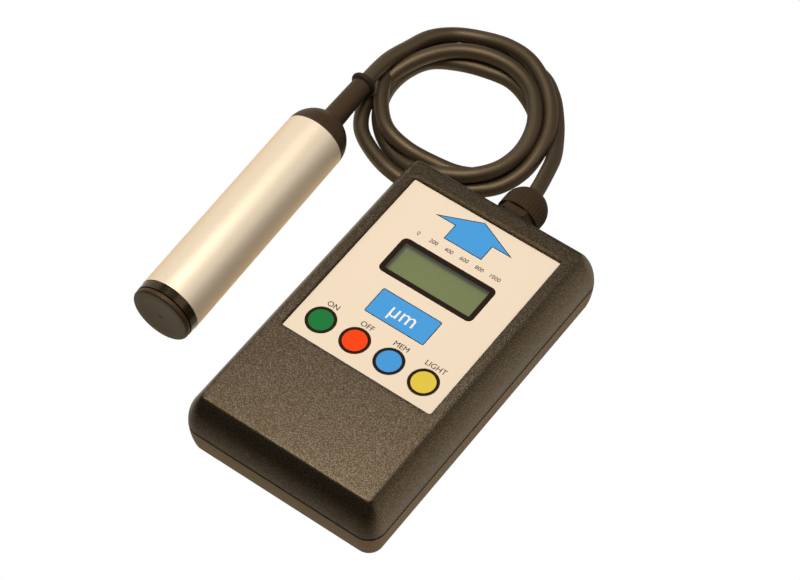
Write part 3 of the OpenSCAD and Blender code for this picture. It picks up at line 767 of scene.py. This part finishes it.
@dataclass
class FrontPrint:
    """Print on the front film: arrow, plate, captions and numbers.

    Attributes:
        lift: Height of the print over the film.
        line: Width of the dark outline.
        head_half: Half the width of the arrow's head.
        shaft_half: Half the width of the arrow's shaft.
        arrow_y: Places along the film of the arrow's foot, shoulders and tip.
        plate_size: Width and length of the blue plate.
        plate_at: Middle of the plate.
        plate_radius: Corner radius of the plate.
        key_pitch: Distance from one key to the next.
        caption_y: Place of the captions along the film.
        caption_size: Letter size of the captions.
        captions: Captions of the keys, from the left.
        unit_size: Letter size of the unit on the plate.
        number_y: Place of the row of numbers along the film.
        number_pitch: Distance from one number to the next.
        number_size: Letter size of the numbers.
        numbers: The row of numbers.
    """

    lift: float = 0.00003
    line: float = 0.00035
    head_half: float = 0.0182
    shaft_half: float = 0.0089
    arrow_y: Triple = (0.0442, 0.0518, 0.0596)
    plate_size: Pair = (0.0278, 0.0129)
    plate_at: Pair = (0.0003, 0.0052)
    plate_radius: float = 0.0008
    key_pitch: float = 0.016
    caption_y: float = -0.0065
    caption_size: float = 0.0034
    captions: tuple[str, ...] = ("ON", "OFF", "MEM", "LIGHT")
    unit_size: float = 0.0095
    number_y: float = 0.0403
    number_pitch: float = 0.0072
    number_size: float = 0.0026
    numbers: tuple[int, ...] = (0, 200, 400, 600, 800, 1000)

    def build(self) -> None:
        """Make all the print, flat on the film."""
        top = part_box("front_film")[1].z + self.lift
        self._arrow(top)
        self._plate(top)
        self._lettering(top + self.lift)

    def _arrow(self, z: float) -> None:
        """Make the blue arrow with its dark outline.

        Args:
            z: Height of the print.
        """
        low, mid, high = self.arrow_y
        corners = [
            (-self.shaft_half, low), (self.shaft_half, low), (self.shaft_half, mid), (self.head_half, mid),
            (0.0, high), (-self.head_half, mid), (-self.shaft_half, mid),
        ]
        piece = Shop.outline("arrow_print", corners, z)
        Shop.dress(piece, Looks.INK, Looks.PRINT_BLUE)
        Shop.border(piece, self.line, keep_inside=True)
        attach(piece, METER)
        LOG.info("arrow print")

    def _plate(self, z: float) -> None:
        """Make the blue plate with its dark outline.

        Args:
            z: Height of the print.
        """
        at = (self.plate_at[0], self.plate_at[1], z)
        piece = Shop.panel("plate_print", self.plate_size, at, self.plate_radius)
        Shop.dress(piece, Looks.INK, Looks.PRINT_BLUE)
        Shop.border(piece, self.line, keep_inside=True)
        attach(piece, METER)
        LOG.info("plate print")

    def _lettering(self, z: float) -> None:
        """Set the captions, the unit and the row of numbers.

        Args:
            z: Height of the lettering.
        """
        for index, caption in enumerate(self.captions):
            x = (index - (len(self.captions) - 1) / 2.0) * self.key_pitch
            at = (x, self.caption_y, z)
            self._word(f"caption_{index + 1}", caption, self.caption_size, at, Looks.INK)
        self._word("unit_print", "µm", self.unit_size, (*self.plate_at, z), Looks.PRINT_WHITE)
        for index, number in enumerate(self.numbers):
            x = (index - (len(self.numbers) - 1) / 2.0) * self.number_pitch
            at = (x, self.number_y, z)
            self._word(f"number_{number}", str(number), self.number_size, at, Looks.INK)

    def _word(self, name: str, body: str, size: float, at: Triple, finish: Finish) -> None:
        """Set one word or number.

        Args:
            name: Name of the piece.
            body: The letters or numbers.
            size: Letter size.
            at: Middle of the lettering.
            finish: Ink of the lettering.
        """
        piece = Shop.words(name, body, size, at)
        Shop.dress(piece, finish)
        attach(piece, METER)
        LOG.info("lettering: %s", body)


@dataclass
class Display:
    """The window's dark border and its clear pane.

    Attributes:
        border: Width of the printed border.
        overlap: How far the border reaches past the pane on each side.
        lift: Height of the border over the pane.
        radius: Outer corner radius of the border.
    """

    border: float = 0.0022
    overlap: float = 0.0001
    lift: float = 0.00003
    radius: float = 0.0025

    def build(self) -> None:
        """Make the dark border on the pane."""
        low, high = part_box("display_window")
        size = (high.x - low.x + 2.0 * self.overlap, high.y - low.y + 2.0 * self.overlap)
        at = ((low.x + high.x) / 2.0, (low.y + high.y) / 2.0, high.z + self.lift)
        piece = Shop.panel("window_border", size, at, self.radius)
        Shop.dress(piece, Looks.INK)
        Shop.border(piece, self.border, keep_inside=False)
        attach(piece, METER)
        LOG.info("window border")


@dataclass
class Keys:
    """Black rings printed round the film keys.

    Attributes:
        ring: Width of a ring.
        lift: Height of a ring over its key.
        radius: Outer radius of a ring.
        sides: Number of points round a ring.
        names: CAD names of the keys.
    """

    ring: float = 0.0011
    lift: float = 0.00003
    radius: float = 0.006
    sides: int = 96
    names: tuple[str, ...] = ("on_key", "off_key", "memory_key", "backlight_key")

    def build(self) -> None:
        """Make a ring on each key."""
        for name in self.names:
            low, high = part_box(name)
            at = ((low.x + high.x) / 2.0, (low.y + high.y) / 2.0, high.z + self.lift)
            bpy.ops.object.select_all(action="DESELECT")
            bpy.ops.mesh.primitive_circle_add(
                vertices=self.sides, radius=self.radius, fill_type="NGON", location=at,
            )
            piece = Shop.settle(bpy.context.object, f"{name}_ring")
            Shop.face_up(piece)
            Shop.dress(piece, Looks.INK)
            Shop.border(piece, self.ring, keep_inside=False)
            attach(piece, f"{name}_body")
            LOG.info("ring: %s", name)


@dataclass
class CadDress:
    """Finishes of the CAD pieces that stay in view.

    Attributes:
        nodes: CAD pieces by name.
    """

    nodes: dict[str, bpy.types.Object]

    def build(self) -> None:
        """Give each piece its finish and smooth its round faces."""
        for name, finish in Looks.BY_NODE.items():
            piece = self.nodes[name]
            Shop.dress(piece, finish)
            Shop.only(piece)
            bpy.ops.object.shade_smooth_by_angle(angle=SMOOTH_ANGLE)
            LOG.info("dressed: %s", name)


def main() -> None:
    """Build the scene, from the camera to the last print."""
    logging.basicConfig(level=logging.INFO, format="%(name)s: %(message)s")
    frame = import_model()
    studio = Studio()
    studio.camera()
    Cable().build()
    studio.floor()
    studio.light()
    CadDress(frame["nodes"]).build()
    Seam().build()
    FrontPrint().build()
    Display().build()
    Keys().build()
    bpy.context.scene.view_settings.view_transform = "Standard"


if __name__ == "__main__":
    main()
